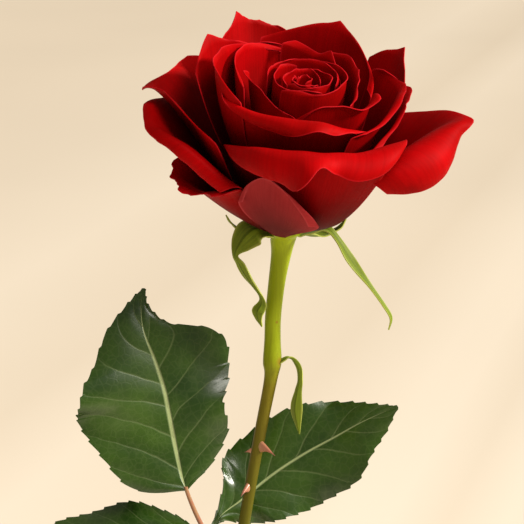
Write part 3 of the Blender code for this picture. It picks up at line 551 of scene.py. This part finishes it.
# Each petal: the side of the bloom that it stands on, how far it leans out at its foot, the place and
# length of its point, its ruffle and its raggedness, then profiles from one margin to the other.
# A profile is the crest's angle about the bloom, its radius and height, its lean there and at the
# lip's very edge, and the lip's length.
# Lengths are in mm and angles in degrees.
PETALS = [
    ("core_1", 60, 4, (0, 0.3), 0.4, 0.05, [
        (-60, 2, 45, 0, 8, 1), (0, 3, 45, 0, 14, 1), (60, 3, 45, 0, 14, 1), (120, 2, 44.5, 0, 14, 1),
        (180, 1.5, 45, 0, 8, 1),
    ]),
    ("core_2", 240, 7, (0, 0.3), 0.4, 0.05, [
        (125, 2.5, 45, 0, 8, 1), (182, 3, 45, 0, 14, 1), (240, 4, 45, 0, 14, 1), (298, 5, 44.5, 0, 14, 1),
        (355, 5, 44.5, 0, 8, 1),
    ]),
    ("core_3", 110, 10, (0, 0.3), 0.4, 0.05, [
        (0, 6, 45, 0, 8, 1), (55, 6, 46, 0, 14, 1), (110, 5.5, 45.5, 0, 14, 1), (165, 5.5, 45, 0, 14, 1),
        (220, 5.5, 44.5, 0, 8, 1),
    ]),
    ("core_4", 330, 13, (0, 0.3), 0.4, 0.05, [
        (225, 6, 45, 0, 8, 1), (278, 7.5, 45, 0, 14, 1), (330, 8.5, 45, 0, 14, 1), (382, 9, 45.5, 0, 14, 1),
        (435, 8, 46, 0, 8, 1),
    ]),
    ("core_5", 205, 16, (0, 0.3), 0.4, 0.05, [
        (100, 8.5, 46.5, 0, 8, 1), (152, 8.5, 46, 0, 14, 1), (205, 9, 45, 0, 14, 1),
        (258, 9.5, 44.5, 0, 14, 1), (310, 10.5, 45, 0, 8, 1),
    ]),
    ("core_6", 80, 19, (0, 0.3), 0.4, 0.05, [
        (-20, 11, 46, 0, 8, 1), (30, 12, 46.5, 0, 14, 1), (80, 11.5, 47, 0, 14, 1),
        (130, 11, 46.5, 0, 14, 1), (180, 10.5, 46, 0, 8, 1),
    ]),
    ("core_7", 335, 22, (0, 0.3), 0.4, 0.05, [
        (235, 11, 45, 0, 8, 1), (285, 12.5, 45, 0, 14, 1), (335, 13.5, 46, 0, 14, 1),
        (385, 14, 46.5, 0, 14, 1), (435, 13, 47, 0, 8, 1),
    ]),
    ("inner_left", 216, 24, (0, 0.4), 0.3, 0, [
        (155, 18, 43, 4, 30, 2), (185, 14, 42, 4, 22, 1.5), (216, 12.5, 40, 4, 20, 1.5),
        (244, 12.5, 38.5, 4, 20, 1.5), (268, 12.5, 37, 2, 20, 1.5),
    ]),
    ("inner_back", 52, 27, (0, 1.0), 0.3, 0, [
        (-9, 13, 40.5, 0, 10, 1), (21, 13.5, 42.5, 2, 25, 1.5), (60, 15.5, 48, 2, 30, 1.5),
        (81, 17, 47, 3, 28, 1.5), (110, 21, 49, 6, 20, 1),
    ]),
    ("inner_right", 20, 30, (0, 1.2), 0.3, 0, [
        (-37, 19, 43, 0, 10, 1), (-9, 17, 44.5, 2, 32, 2), (20, 17.5, 45.5, 2, 40, 2),
        (47, 19, 48, 2, 35, 2), (72, 19.5, 47.5, 4, 20, 1),
    ]),
    ("inner_cup", 148, 33, (0, 0.4), 0.3, 0, [
        (97, 24, 45, 4, 20, 1), (122, 22.5, 47, 4, 35, 2), (148, 22, 48, 4, 40, 2),
        (174, 21, 47, 4, 35, 2), (199, 18.5, 43, 6, 20, 1),
    ]),
    ("inner_front", 308, 36, (0.9, 1.0), 0.3, 0, [
        (260, 17, 38, 0, 20, 1), (282, 17.5, 42, 4, 50, 2), (308, 19, 43, 5, 60, 2),
        (331, 22, 41.5, 6, 78, 2.5), (354, 22.5, 43.5, 10, 130, 4),
    ]),
    ("cup_left", 172, 39, (0, 0.4), 0.3, 0, [
        (106, 22, 45.5, 4, 20, 1), (130, 23.5, 47.5, 6, 28, 2), (172, 25, 49.5, 6, 30, 2),
        (199, 28, 48.5, 7, 32, 2), (225, 25, 43, 10, 40, 2),
    ]),
    ("cup_front", 255, 42, (0, 0.4), 0.25, 0, [
        (191, 25, 42, 12, 70, 3), (212, 24.5, 41, 16, 225, 4.5), (238, 24, 41, 18, 225, 6.5),
        (262, 24.5, 41.5, 20, 225, 9), (285, 25, 40.5, 20, 133, 10), (303, 26.5, 39.5, 22, 130, 5.5),
        (320, 28, 38, 22, 60, 2),
    ]),
    ("back_left_inner", 150, 45, (0.5, 1.8), 0.35, 0, [
        (102, 29.5, 45, 10, 30, 1), (118, 30, 44, 8, 38, 2), (134, 31.5, 46, 8, 40, 2),
        (153, 32.5, 47.5, 11, 42, 2), (190, 32, 42.5, 20, 50, 2),
    ]),
    ("back_right_inner", 66, 48, (0.25, 1.2), 0.3, 0, [
        (14, 23, 39.5, 4, 20, 1), (36, 27.5, 44, 7, 35, 2), (61, 30, 50.5, 8, 40, 2),
        (82, 31, 51.5, 10, 38, 2), (115, 33.5, 46, 14, 30, 1),
    ]),
    ("side_right", 350, 51, (0.5, 1.0), 0.3, 0, [
        (303, 28.5, 37.5, 20, 80, 2), (326, 29, 39.5, 20, 88, 3), (350, 29.5, 44, 20, 90, 3),
        (374, 30.5, 43, 18, 78, 3), (398, 28, 44.5, 14, 40, 2),
    ]),
    ("side_right_outer", 348, 54, (0, 0.4), 0.3, 0, [
        (312, 33, 34, 20, 50, 2), (327, 32.5, 38.5, 20, 58, 2), (348, 32, 41, 20, 60, 2),
        (369, 33, 40.5, 20, 55, 2), (386, 35.5, 40.5, 20, 40, 2),
    ]),
    ("back_left", 120, 57, (0.5, 1.8), 0.4, 0.1, [
        (96, 42, 44.5, 14, 40, 2), (105, 43, 45.5, 14, 40, 2), (113, 43, 47, 14, 40, 2),
        (122, 40.5, 48.5, 14, 40, 2), (135, 37, 45, 14, 40, 2),
    ]),
    ("back_right", 38, 60, (0, 1.8), 0.3, 0, [
        (2, 32, 37, 24, 50, 2), (20, 35, 42.5, 16, 42, 2), (38, 39, 46.5, 14, 40, 2),
        (50, 40, 45, 16, 42, 2), (57, 40, 42, 20, 50, 2),
    ]),
    ("front_lip", 272, 63, (-0.9, 0), 0.25, 0.08, [
        (202, 24, 25, 40, 70, 1.5), (237, 30, 32, 50, 183, 9), (251, 33, 35, 58, 210, 12.5),
        (264, 36, 37, 62, 220, 14.5), (273, 36, 37.5, 62, 146, 18), (281, 37, 37.5, 60, 115, 11.5),
        (289, 38, 38, 60, 170, 10), (298, 39, 38, 58, 183, 12), (312, 40, 39.5, 52, 186, 11.5),
        (325, 40, 39, 45, 158, 5),
    ]),
    ("left_hook", 170, 60, (0, 3), 0.4, 0.1, [
        (131, 47, 35.5, 40, 60, 2), (150, 44.5, 34.5, 50, 80, 2), (168, 46, 33.5, 58, 150, 4.5),
        (184, 40.5, 36.5, 55, 70, 2), (200, 36, 34.5, 45, 60, 2), (219, 31.5, 30, 35, 50, 2),
    ]),
    ("outer_back_right", 76, 60, (0.1, 2.0), 0.6, 0.15, [
        (46, 46, 28, 50, 80, 3), (61, 48, 30, 50, 88, 4), (76, 49, 31, 50, 90, 4),
        (91, 48.5, 30, 50, 88, 4), (106, 47, 28, 50, 80, 3),
    ]),
    ("outer_back_left", 130, 66, (0, 2.0), 0.6, 0.15, [
        (103, 45, 25, 50, 80, 3), (117, 46, 26.5, 50, 88, 4), (130, 46, 27, 50, 90, 4),
        (143, 45, 26, 50, 88, 4), (157, 43, 22, 50, 80, 3),
    ]),
    ("front_low", 304, 80, (0, 0.4), 0.2, 0.05, [
        (258, 29, 27.5, 10, 14, 1), (273, 31.5, 30, 12, 16, 1), (286, 37, 33.5, 18, 22, 1),
        (296, 40, 34, 20, 24, 1), (311, 41, 30.5, 30, 34, 1),
    ]),
    ("right_wing", 350, 68, (0.2, 1.6), 0.3, 0.1, [
        (306, 36, 26.5, 72, 190, 7), (315, 39, 31.5, 76, 196, 12.5), (325, 42, 35.5, 79, 200, 14.5),
        (337, 45, 38, 82, 200, 11.5), (348, 49, 40, 80, 195, 5), (358, 50.5, 39.5, 66, 90, 2),
        (368, 47, 37.5, 60, 85, 2), (379, 42.5, 33.5, 55, 80, 2), (393, 39.5, 29, 50, 80, 2),
    ]),
    ("left_lobe", 196, 66, (0, 0.4), 0.5, 0.12, [
        (159, 43, 28.5, 60, 90, 3), (174, 44.5, 30.5, 64, 140, 4), (193, 43.5, 29, 64, 155, 4.5),
        (208, 38, 27.5, 66, 190, 5), (222, 33, 22.5, 66, 195, 5), (239, 30, 18.5, 60, 190, 5.5),
    ]),
    ("left_ragged", 210, 72, (0, 0.4), 0.9, 0.5, [
        (184, 34, 16, 60, 120, 4), (197, 35.5, 13, 60, 120, 4), (210, 32, 12, 60, 125, 4.5),
        (223, 30.5, 13.5, 58, 130, 5), (240, 28.5, 17.5, 50, 150, 5.5),
    ]),
    ("front_under", 255, 54, (0, 0.4), 0.15, 0.05, [
        (237, 29, 13, 34, 40, 1.5), (243, 31, 20, 14, 22, 1.5), (254, 33.5, 24.5, 12, 20, 1.5),
        (267, 35.5, 23, 18, 26, 1.5), (279, 34, 16.5, 30, 40, 1.5), (289, 30, 9.5, 50, 60, 1.5),
    ]),
]
PETAL_THICKNESS = 0.3
PETAL_ACROSS, PETAL_ALONG = 57, 61


def whorls(petals, claw, step):
    """Foot radius and height of each petal, one step outside any earlier petal that its foot would meet."""
    levels = []
    for k, row in enumerate(petals):
        level = 0
        for earlier, other in zip(petals[:k], levels):
            apart = abs((row[1] - earlier[1] + 180) % 360 - 180)
            spreads = (row[6][-1][0] - row[6][0][0] + earlier[6][-1][0] - earlier[6][0][0]) / 2
            if apart < 2 * claw + 20:
                level = max(level, other + 1)
            elif apart < spreads + 5:
                level = max(level, other)
        levels.append(level)
    radius, height, feet = 1.2, 0.0, []
    for number in range(max(levels) + 1):
        feet.append((radius, height))
        lean = math.radians(min(84, 6 + 9 * number))
        radius += step * math.cos(lean)
        height -= step * math.sin(lean)
    return [feet[number] for number in levels]


def petal_grid(row, foot, across, along, phase):
    """Points over a petal's middle surface, in place on the bloom, mm."""
    at, base, (tip_at, tip), ruffle, ragged, profiles = row[1:]
    u = np.linspace(-1, 1, across)[:, None]
    v = np.linspace(0, 1, along)[None, :]
    angle, radius, height, lean, edge, roll = (column[:, None] for column in smooth(profiles, across).T)
    roll = roll + tip * np.clip(1 - np.abs(u - tip_at) / 0.22, 0, 1) ** 1.6
    tatter = np.sin(u * 9 + phase) + np.sin(u * 23 + 2 * phase) * 0.6 + np.sin(u * 41 + phase) * 0.4
    roll = roll + ragged * tatter
    lean, edge, base = np.radians(lean), np.radians(edge), math.radians(base)
    chord = np.hypot(radius - foot[0], height - foot[1])
    hold, near = 0.42 * chord, 0.24 * chord
    s = np.clip(v / 0.78, 0, 1)
    r = (1 - s) ** 3 * foot[0] + 3 * s * (1 - s) ** 2 * (foot[0] + hold * math.sin(base))
    r = r + 3 * s**2 * (1 - s) * (radius - near * np.sin(lean)) + s**3 * radius
    z = (1 - s) ** 3 * foot[1] + 3 * s * (1 - s) ** 2 * (foot[1] + hold * math.cos(base))
    z = z + 3 * s**2 * (1 - s) * (height - near * np.cos(lean)) + s**3 * height
    t = np.clip((v - 0.78) / 0.22, 0, 1)
    bend = np.maximum(edge - lean, 0.02)
    r = r + roll / bend * (np.cos(lean) - np.cos(lean + bend * t))
    z = z + roll / bend * (np.sin(lean + bend * t) - np.sin(lean))
    opened = np.sin(np.clip(v / 0.42, 0, 1) * math.pi / 2)
    narrowed = 1.0 - 0.22 * np.clip((v - 0.7) / 0.3, 0, 1) ** 2
    turned = at + u * CLAW_HALF_ANGLE * (1 - opened) + (angle - at) * opened * narrowed
    soft = np.clip((v - 0.45) / 0.55, 0, 1) ** 2
    r = r + ruffle * soft * np.sin(u * 5.5 + phase) + 0.4 * ruffle * soft * np.sin(u * 13 + 3 * phase + 4 * v)
    z = z + 0.5 * ruffle * soft * np.sin(u * 8 + 2 * phase)
    turned = np.radians(turned)
    local = np.stack([r * np.cos(turned), r * np.sin(turned), z], -1)
    return local @ BLOOM_TURN.T + BLOOM_BASE


def petal_tree(name, deep, bright, lip, roughness, sheen, specular):
    """Petal skin: velvet with fine veins running up from the foot, painted shade that darkens it towards the
    foot, and a painted highlight as a lighter line along the lip.
    """
    tree, shader = new_tree(name, roughness, specular=specular, sheen=sheen, sheen_tint=(1.0, 0.05, 0.07))
    spots = wire(tree, "ShaderNodeTexCoord", {})
    spot, lay = spots.outputs["Object"], spots.outputs["UV"]
    uv = wire(tree, "ShaderNodeSeparateXYZ", {"Vector": lay})
    fan = wire(tree, "ShaderNodeMapping", {"Vector": lay, "Scale": (26.0, 1.6, 1.0)}).outputs[0]
    veins = wire(tree, "ShaderNodeTexNoise", {"Vector": fan, "Scale": 2.2, "Detail": 5.0, "Distortion": 0.4})
    nap = wire(tree, "ShaderNodeTexNoise", {"Vector": spot, "Scale": 1800.0, "Detail": 2.0})
    bloom_patch = wire(tree, "ShaderNodeTexNoise", {"Vector": spot, "Scale": 60.0, "Detail": 4.0})
    tone = ramp(tree, bloom_patch.outputs["Fac"], [(0.32, deep), (0.66, bright)])
    vein_tone = ramp(tree, veins.outputs["Fac"], [(0.32, (0.72, 0.6, 0.6)), (0.6, (1.0, 1.0, 1.0))])
    tone = mixed(tree, 0.4, tone, vein_tone, "MULTIPLY")
    # Painted shade: the skin darkens towards the petal's foot, deep in the bloom where shade falls.
    rise = ramp(tree, uv.outputs["Y"], [(0.2, (0.12, 0.12, 0.12)), (0.8, (1.0, 1.0, 1.0))])
    tone = mixed(tree, 1.0, tone, rise, "MULTIPLY")
    margin = wire(tree, "ShaderNodeAttribute", {}, attribute_name="margin").outputs["Fac"]
    # Painted highlight: a lighter tone along the petal's lip, where light catches its thin edge.
    painted_lip_highlight = reckon(tree, "MULTIPLY", reckon(tree, "SUBTRACT", 0.6, margin), 1.4, True)
    tone = mixed(tree, reckon(tree, "MULTIPLY", painted_lip_highlight, 0.8), tone, lip)
    tree.links.new(tone, shader.inputs["Base Color"])
    relief = reckon(tree, "ADD", veins.outputs["Fac"], reckon(tree, "MULTIPLY", nap.outputs["Fac"], 0.04))
    bumped(tree, shader, relief, 0.2, 0.0004)
    return name


# Each skin: its deep and bright tones, the tone of the painted highlight along its lip, its roughness, sheen
# and gloss.
PETAL_SKINS = [
    ("petal_back", (0.27, 0.0, 0.0), (0.41, 0.0, 0.001), (0.56, 0.012, 0.02), 0.6, 0.02, 0.04),
    ("petal_face", (0.38, 0.0, 0.0), (0.58, 0.0, 0.001), (0.74, 0.012, 0.025), 0.55, 0.02, 0.03),
    ("petal_lip_highlight", (0.50, 0.004, 0.01), (0.64, 0.012, 0.02), (0.78, 0.08, 0.10), 0.55, 0.05, 0.08),
    ("petal_heart_shade", (0.11, 0.0, 0.0), (0.19, 0.0, 0.001), (0.32, 0.003, 0.006), 0.6, 0.02, 0.04),
    ("petal_dusty", (0.30, 0.016, 0.02), (0.38, 0.026, 0.03), (0.5, 0.06, 0.07), 0.8, 0.2, 0.1),
]
petal_back, petal_face, petal_rim_highlight, petal_heart_shade, petal_dusty = [petal_tree(*skin) for skin in PETAL_SKINS]
SHADED_HEART_PETALS = 6  # so many of the innermost petals have the heart's skin, darkened with painted shade
MARGIN_START = 25  # the profile point above which a petal's sides count as its lighter margin

for number, (row, foot) in enumerate(zip(PETALS, whorls(PETALS, CLAW_HALF_ANGLE, WHORL_STEP))):
    grid = petal_grid(row, foot, PETAL_ACROSS, PETAL_ALONG, 1.7 * number)
    petal = laid_sheet(grid, PETAL_THICKNESS, 1, 2)
    places = np.empty(len(petal.data.vertices) * 3)
    petal.data.vertices.foreach_get("co", places)
    outline = np.concatenate([grid[:, -1], grid[0, MARGIN_START:], grid[-1, MARGIN_START:]])
    from_edge = np.linalg.norm(places.reshape(-1, 1, 3) / MM - outline[None], axis=2).min(axis=1)
    margin = petal.data.attributes.new("margin", "FLOAT", "POINT")
    margin.data.foreach_set("value", from_edge)
    skins = [petal_dusty if row[0] == "front_under" else petal_back, petal_face, petal_rim_highlight]
    # The heart's petals take a skin darkened with painted shade, as the heart lies deep in shade.
    if number < SHADED_HEART_PETALS:
        skins = [petal_back, petal_heart_shade, petal_heart_shade]
    settle(petal, row[0] + "_petal", "petal", skins, "petal_" + row[0])

# ---------------------------------------------------------------------------------------------
# Setting: a wide pale floor with soft slanting streaks of light and shade painted into its colour,
# a warm sun low on the right and slightly in front, and a weaker window lamp high in front on the right.
# ---------------------------------------------------------------------------------------------

bpy.ops.mesh.primitive_plane_add(size=16, location=(0, 3, 0))
floor = bpy.context.object
floor.name = "floor"
ground, ground_shader = new_tree("pale_floor", 1.0, specular=0.0)
ground_place = wire(ground, "ShaderNodeTexCoord", {}).outputs["Object"]
ground_noise = {"Vector": ground_place, "Scale": 1.2, "Detail": 2.0}
ground_cloud = wire(ground, "ShaderNodeTexNoise", ground_noise).outputs["Fac"]
ground_tone = ramp(ground, ground_cloud, [(0.3, (0.86, 0.765, 0.64)), (0.7, (0.90, 0.80, 0.67))])
ground_spot = wire(ground, "ShaderNodeSeparateXYZ", {"Vector": ground_place})
# Painted light and shade: slanting bands of lighter and darker floor colour, as if from window light.
STREAK_SLANT, STREAK_SCALE, STREAK_SHIFT = 0.25, 0.952, 0.238
sideways = reckon(ground, "MULTIPLY", ground_spot.outputs["Y"], STREAK_SLANT)
slant = reckon(ground, "SUBTRACT", ground_spot.outputs["X"], sideways)
slant = reckon(ground, "ADD", reckon(ground, "MULTIPLY", slant, STREAK_SCALE), STREAK_SHIFT)
# Each painted light streak stop: its place across the floor, and how bright the painted light and shade leave
# the floor there.
PAINTED_LIGHT_STREAKS = [(0.0, 0.90), (0.29, 0.93), (0.48, 0.98), (0.62, 0.90), (0.69, 0.97), (0.80, 0.91)]
PAINTED_LIGHT_STREAKS += [(0.88, 1.0), (0.91, 1.0), (0.943, 0.93), (0.975, 1.0), (1.0, 0.98)]
painted_light_streak_tone = ramp(ground, slant, [(place, (value, value**1.2, value**1.5)) for place, value in PAINTED_LIGHT_STREAKS])
ground_tone = mixed(ground, 1.0, ground_tone, painted_light_streak_tone, "MULTIPLY")
ground.links.new(ground_tone, ground_shader.inputs["Base Color"])
floor.data.materials.append(bpy.data.materials["pale_floor"])


def hang_light(name, place, aim, size, power, colour):
    bpy.ops.object.light_add(type="AREA", location=place)
    made = bpy.context.object
    made.name = name
    made.data.shape = "DISK"
    made.data.size = size
    made.data.energy = power
    made.data.color = colour
    made.rotation_euler = (Vector(aim) - Vector(place)).to_track_quat("-Z", "Y").to_euler()


hang_light("window", (0.55, -0.80, 1.35), (0.0, 0, 0.28), 0.6, 13, (1.0, 0.96, 0.88))
bpy.ops.object.light_add(type="SUN", location=(2, 0, 2))
daylight = bpy.context.object
daylight.name = "daylight"
daylight.data.energy = 4.5
daylight.data.angle = math.radians(9)
daylight.data.color = (1.0, 0.95, 0.86)
daylight.rotation_euler = Vector((0.86, -0.12, 0.50)).to_track_quat("Z", "Y").to_euler()

world = bpy.data.worlds.new("cream_room")
bpy.context.scene.world = world
world.use_nodes = True
world.node_tree.nodes["Background"].inputs["Color"].default_value = (1.0, 0.90, 0.76, 1)
world.node_tree.nodes["Background"].inputs["Strength"].default_value = 0.28
bpy.context.scene.view_settings.view_transform = "Standard"

EYE_RISE = math.radians(12)
AIM, EYE_DISTANCE = Vector((0.0138, 0.0, 0.266)), 0.70
bpy.ops.object.camera_add(
    location=AIM + EYE_DISTANCE * Vector((0, -math.cos(EYE_RISE), math.sin(EYE_RISE))),
    rotation=(math.pi / 2 - EYE_RISE, 0, 0),
)
camera = bpy.context.object
camera.data.sensor_width = 36
camera.data.lens = 150.29
bpy.context.scene.camera = camera
